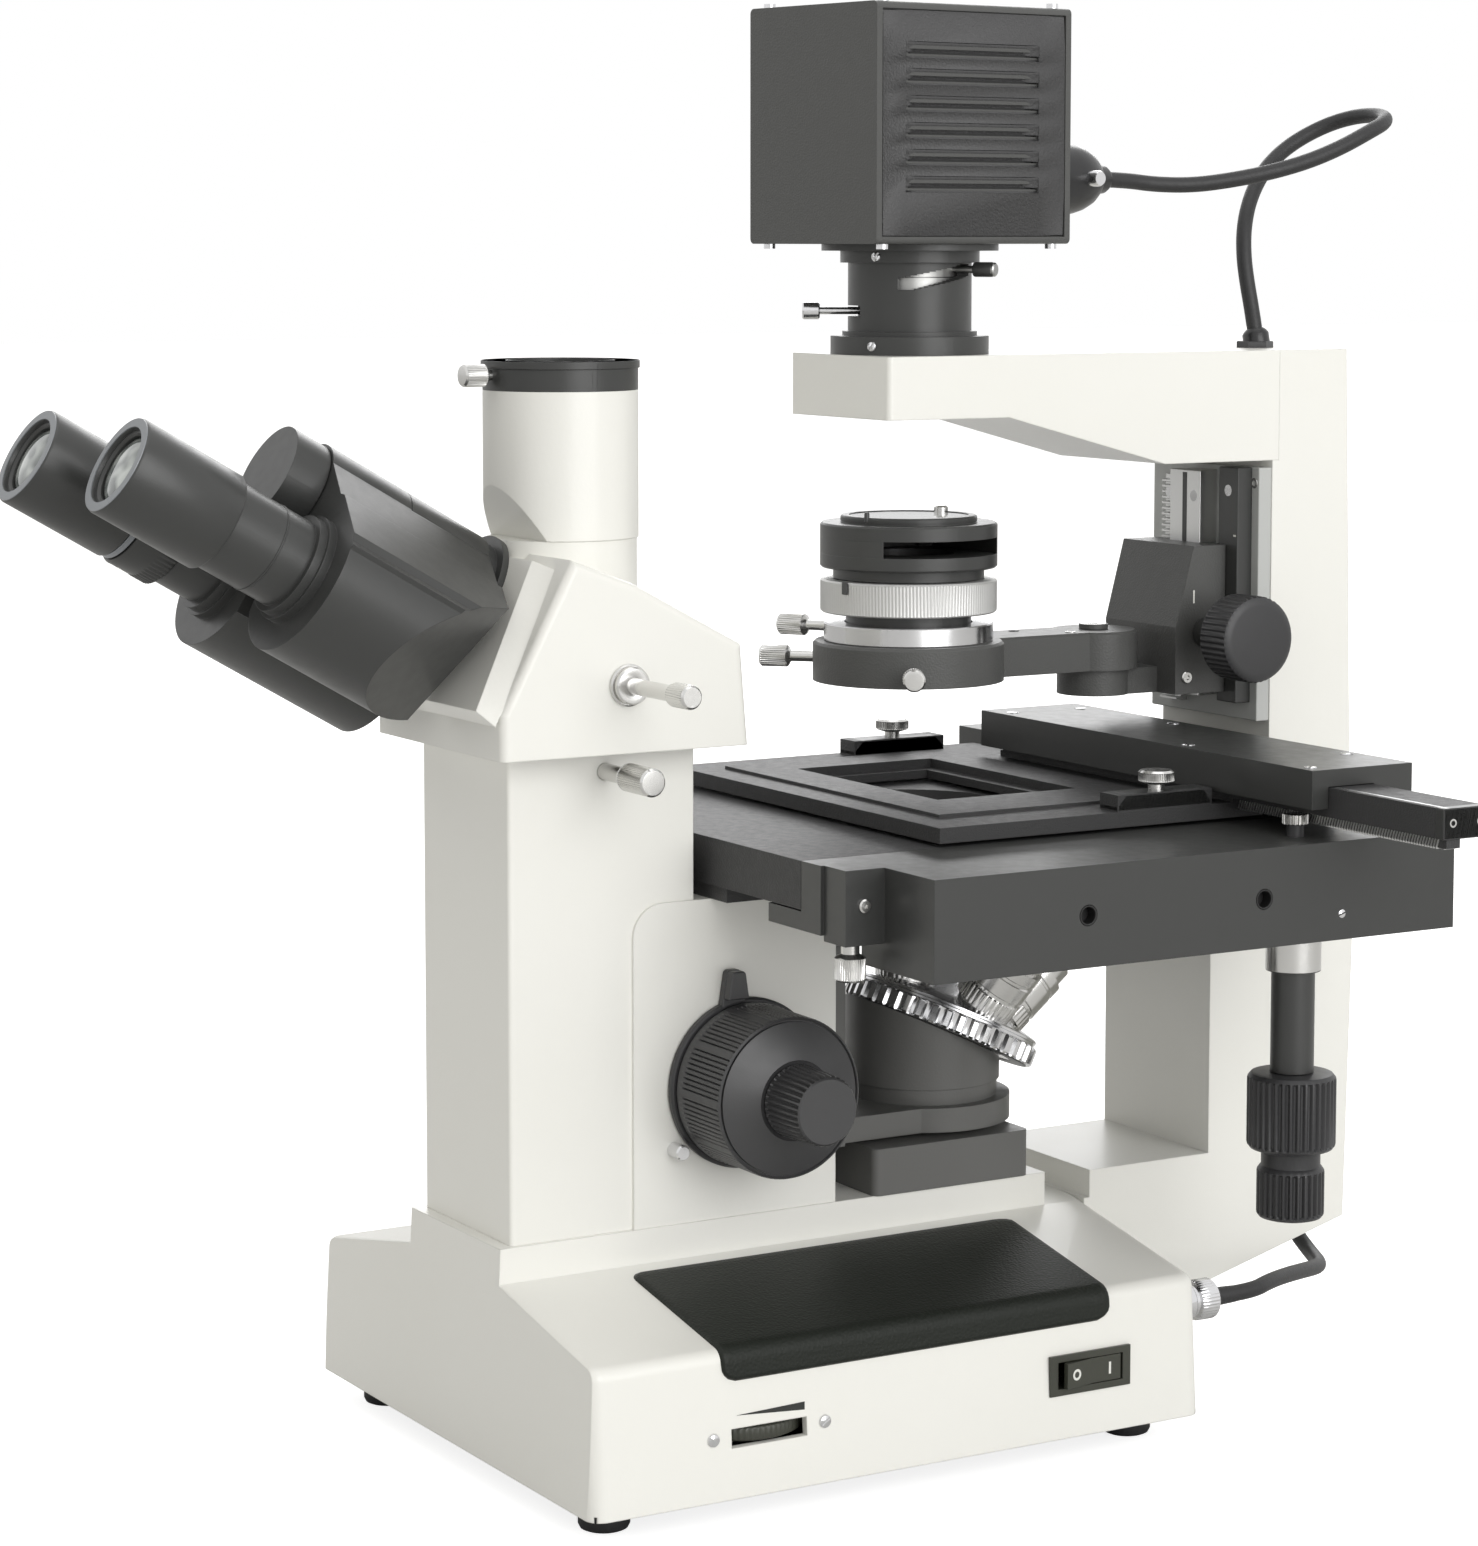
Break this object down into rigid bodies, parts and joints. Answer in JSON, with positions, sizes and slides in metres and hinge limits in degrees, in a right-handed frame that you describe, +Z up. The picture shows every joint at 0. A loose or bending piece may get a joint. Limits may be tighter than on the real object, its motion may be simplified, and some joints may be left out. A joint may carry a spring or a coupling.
{
  "type": "inverted microscope",
  "caption": "Inverted laboratory microscope: objectives on a turret below a mechanical stage, condenser and lamp above it, tilted binocular head with an upright camera tube.",
  "frame": {"origin": "on the table under the middle of the instrument's bounding box, without its cords", "axes": "+X to the user's right, -Y towards the user at the eyepieces, +Z up from the table"},
  "size_m": [0.329, 0.563, 0.5239],
  "materials": {
    "white_enamel": "satin warm white enamel",
    "black_coat": "fine textured black powder coat",
    "black_anodised": "satin black anodised",
    "grey_anodised": "satin grey anodised",
    "aluminium": "fine brushed",
    "light_grey": "satin light grey",
    "pad_plastic": "textured dark green-black",
    "knob_plastic": "satin dark grey, knurled",
    "black_plastic": "satin black",
    "rubber": "matte black",
    "chrome": "bright",
    "steel": "fine brushed",
    "glass": "clear coated",
    "transformer_iron": "varnished"
  },
  "bodies": {
    "frame": {"base_housing": "white_enamel", "base_plate": "black_coat", "feet": "rubber", "hand_rest_pads": "pad_plastic", "switch_bezel": "black_plastic", "power_unit": "transformer_iron", "power_inlet": "black_plastic", "pillar_housing": "white_enamel", "focus_covers": "white_enamel", "head_housing": "white_enamel", "camera_tube": "white_enamel", "camera_port": "black_anodised", "binocular_mount": "white_enamel", "light_box": "black_coat", "relay_optics": "glass", "stage_plate": "black_coat", "rear_column": "white_enamel", "upper_arm": "white_enamel", "condenser_rail": "aluminium", "lamp_mount": "black_anodised", "lamp_housing": "black_coat", "lamp_socket": "steel", "cable_fittings": "rubber", "lamp_cable": "rubber", "base_cable": "rubber", "frame_screws": "steel"},
    "rocker": {"rocker": "black_plastic"},
    "brightness_dial": {"brightness_dial": "knob_plastic"},
    "tension_lever": {"tension_lever": "knob_plastic"},
    "coarse_knobs": {"coarse_knobs": "knob_plastic"},
    "fine_knobs": {"fine_knobs": "knob_plastic"},
    "light_path_rod": {"light_path_rod": "chrome"},
    "camera_clamp_screw": {"camera_clamp_screw": "steel"},
    "head_clamp_screw": {"head_clamp_screw": "steel"},
    "right_ocular": {"right_ocular": "black_anodised", "right_eyepiece": "black_anodised"},
    "left_ocular": {"left_ocular": "black_anodised", "left_eyepiece": "black_anodised"},
    "diopter_ring": {"diopter_ring": "black_anodised"},
    "focus_carrier": {"focus_carrier": "black_anodised"},
    "turret": {"turret_ring": "steel", "objectives": "steel"},
    "stage_y_carriage": {"stage_y_carriage": "black_anodised"},
    "stage_lock_screw": {"stage_lock_screw": "steel"},
    "stage_x_carriage": {"stage_x_carriage": "black_anodised"},
    "clip_screw_left": {"clip_screw_left": "steel"},
    "clip_screw_right": {"clip_screw_right": "steel"},
    "y_drive_knob": {"y_drive_knob": "knob_plastic"},
    "x_drive_knob": {"x_drive_knob": "knob_plastic"},
    "condenser_carriage": {"condenser_carriage": "black_anodised"},
    "condenser_knob": {"condenser_knob": "knob_plastic"},
    "condenser_arm": {"condenser_arm": "black_anodised", "condenser_body": "black_anodised"},
    "aperture_ring": {"aperture_ring": "grey_anodised"},
    "condenser_clamp_screw": {"condenser_clamp_screw": "steel"},
    "centring_screw_left": {"centring_screw_left": "steel"},
    "centring_screw_right": {"centring_screw_right": "steel"},
    "field_lever": {"field_lever": "steel"},
    "collector_cell": {"collector_cell": "aluminium"},
    "collector_lever": {"collector_lever": "steel"}
  },
  "joints": [
    {"name": "rocker_tilt", "type": "hinge", "parent": "frame", "child": "rocker", "pos_m": [0.05091, 0.08767, 0.0332], "axis": [0, 0, 1], "range_deg": [-12, 0]},
    {"name": "brightness_turn", "type": "hinge", "parent": "frame", "child": "brightness_dial", "pos_m": [0.03167, -0.04583, 0.0309], "axis": [0, 0, 1], "range_deg": [0, 270]},
    {"name": "tension_turn", "type": "hinge", "parent": "frame", "child": "tension_lever", "pos_m": [-0.0525, -0.01363, 0.136], "axis": [1, 0, 0], "range_deg": [-25, 25]},
    {"name": "focus_travel", "type": "slide", "parent": "frame", "child": "focus_carrier", "axis": [0, 0, 1], "range_m": [-0.0015, 0.007]},
    {"name": "coarse_turn", "type": "hinge", "parent": "frame", "child": "coarse_knobs", "pos_m": [-0.0525, -0.01363, 0.136], "axis": [1, 0, 0], "range_deg": [-15, 67]},
    {"name": "fine_turn", "type": "hinge", "parent": "frame", "child": "fine_knobs", "pos_m": [-0.0525, -0.01363, 0.136], "axis": [1, 0, 0], "continuous": true},
    {"name": "turret_turn", "type": "hinge", "parent": "focus_carrier", "child": "turret", "pos_m": [-0.0525, 0.07907, 0.1095], "axis": [0, 0.4305, 0.9026], "continuous": true},
    {"name": "light_path_push", "type": "slide", "parent": "frame", "child": "light_path_rod", "axis": [1, 0, 0], "range_m": [-0.015, 0]},
    {"name": "camera_clamp_turn", "type": "hinge", "parent": "frame", "child": "camera_clamp_screw", "pos_m": [-0.0525, -0.08713, 0.39], "axis": [0, -1, 0], "range_deg": [0, 90]},
    {"name": "head_clamp_turn", "type": "hinge", "parent": "frame", "child": "head_clamp_screw", "pos_m": [-0.0225, -0.06873, 0.252], "axis": [1, 0, 0], "range_deg": [0, 90]},
    {"name": "right_eye_fold", "type": "hinge", "parent": "frame", "child": "right_ocular", "pos_m": [-0.0525, 0.02377, 0.2406], "axis": [0, -0.866, 0.5], "range_deg": [-4.5, 16.8]},
    {"name": "left_eye_fold", "type": "hinge", "parent": "frame", "child": "left_ocular", "pos_m": [-0.0525, 0.02377, 0.2406], "axis": [0, -0.866, 0.5], "range_deg": [-16.8, 4.5]},
    {"name": "diopter_turn", "type": "hinge", "parent": "left_ocular", "child": "diopter_ring", "pos_m": [-0.08042, 0.00761, 0.21261], "axis": [0, -0.866, 0.5], "range_deg": [-150, 150]},
    {"name": "stage_long_travel", "type": "slide", "parent": "frame", "child": "stage_y_carriage", "axis": [0, 1, 0], "range_m": [-0.04, 0.02]},
    {"name": "y_drive_turn", "type": "hinge", "parent": "stage_y_carriage", "child": "y_drive_knob", "pos_m": [0.0875, 0.15287, 0.127], "axis": [0, 0, 1], "range_deg": [-290, 145]},
    {"name": "stage_cross_travel", "type": "slide", "parent": "stage_y_carriage", "child": "stage_x_carriage", "axis": [1, 0, 0], "range_m": [-0.07, 0.02]},
    {"name": "x_drive_turn", "type": "hinge", "parent": "stage_y_carriage", "child": "x_drive_knob", "pos_m": [0.0875, 0.15287, 0.097], "axis": [0, 0, 1], "range_deg": [-245, 855]},
    {"name": "stage_lock_turn", "type": "hinge", "parent": "stage_y_carriage", "child": "stage_lock_screw", "pos_m": [0.067, -0.02063, 0.195], "axis": [0, 0, 1], "range_deg": [0, 90]},
    {"name": "left_clip_turn", "type": "hinge", "parent": "stage_x_carriage", "child": "clip_screw_left", "pos_m": [-0.137, 0.12587, 0.24], "axis": [0, 0, 1], "range_deg": [0, 90]},
    {"name": "right_clip_turn", "type": "hinge", "parent": "stage_x_carriage", "child": "clip_screw_right", "pos_m": [0.041, 0.12587, 0.24], "axis": [0, 0, 1], "range_deg": [0, 90]},
    {"name": "condenser_travel", "type": "slide", "parent": "frame", "child": "condenser_carriage", "axis": [0, 0, 1], "range_m": [-0.006, 0.03]},
    {"name": "condenser_height_turn", "type": "hinge", "parent": "condenser_carriage", "child": "condenser_knob", "pos_m": [-0.0525, 0.19987, 0.2865], "axis": [1, 0, 0], "range_deg": [-151, 31]},
    {"name": "condenser_swing", "type": "hinge", "parent": "condenser_carriage", "child": "condenser_arm", "pos_m": [-0.0525, 0.16387, 0.28], "axis": [0, 0, 1], "range_deg": [-70, 70]},
    {"name": "aperture_turn", "type": "hinge", "parent": "condenser_arm", "child": "aperture_ring", "pos_m": [-0.0525, 0.07907, 0.305], "axis": [0, 0, 1], "range_deg": [0, 90]},
    {"name": "field_turn", "type": "hinge", "parent": "frame", "child": "field_lever", "pos_m": [-0.0525, 0.07907, 0.411], "axis": [0, 0, 1], "range_deg": [-30, 30]},
    {"name": "collector_travel", "type": "slide", "parent": "frame", "child": "collector_cell", "axis": [0, 0, 1], "range_m": [-0.0054, 0]},
    {"name": "collector_turn", "type": "hinge", "parent": "collector_cell", "child": "collector_lever", "pos_m": [-0.0525, 0.07907, 0.4263], "axis": [0, 0, 1], "range_deg": [-71.01, 0]},
    {"name": "condenser_clamp_screw_turn", "type": "hinge", "parent": "condenser_arm", "child": "condenser_clamp_screw", "pos_m": [-0.08642, 0.05787, 0.2916], "axis": [-0.848, -0.5299, 0], "range_deg": [0, 90]},
    {"name": "centring_screw_left_turn", "type": "hinge", "parent": "condenser_arm", "child": "centring_screw_left", "pos_m": [-0.08029, 0.0503, 0.2806], "axis": [-0.6947, -0.7193, 0], "range_deg": [0, 90]},
    {"name": "centring_screw_right_turn", "type": "hinge", "parent": "condenser_arm", "child": "centring_screw_right", "pos_m": [-0.01786, 0.05907, 0.2775], "axis": [0.866, -0.5, 0], "range_deg": [0, 90]}
  ],
  "couplings": [
    {"joint": "coarse_turn", "follows": "focus_travel", "rad_per_m": 166.66},
    {"joint": "left_eye_fold", "follows": "right_eye_fold", "ratio": -1},
    {"joint": "y_drive_turn", "follows": "stage_long_travel", "rad_per_m": 125},
    {"joint": "x_drive_turn", "follows": "stage_cross_travel", "rad_per_m": -212.77},
    {"joint": "condenser_height_turn", "follows": "condenser_travel", "rad_per_m": -86.957},
    {"joint": "collector_turn", "follows": "collector_travel", "rad_per_m": 229.48}
  ]
}
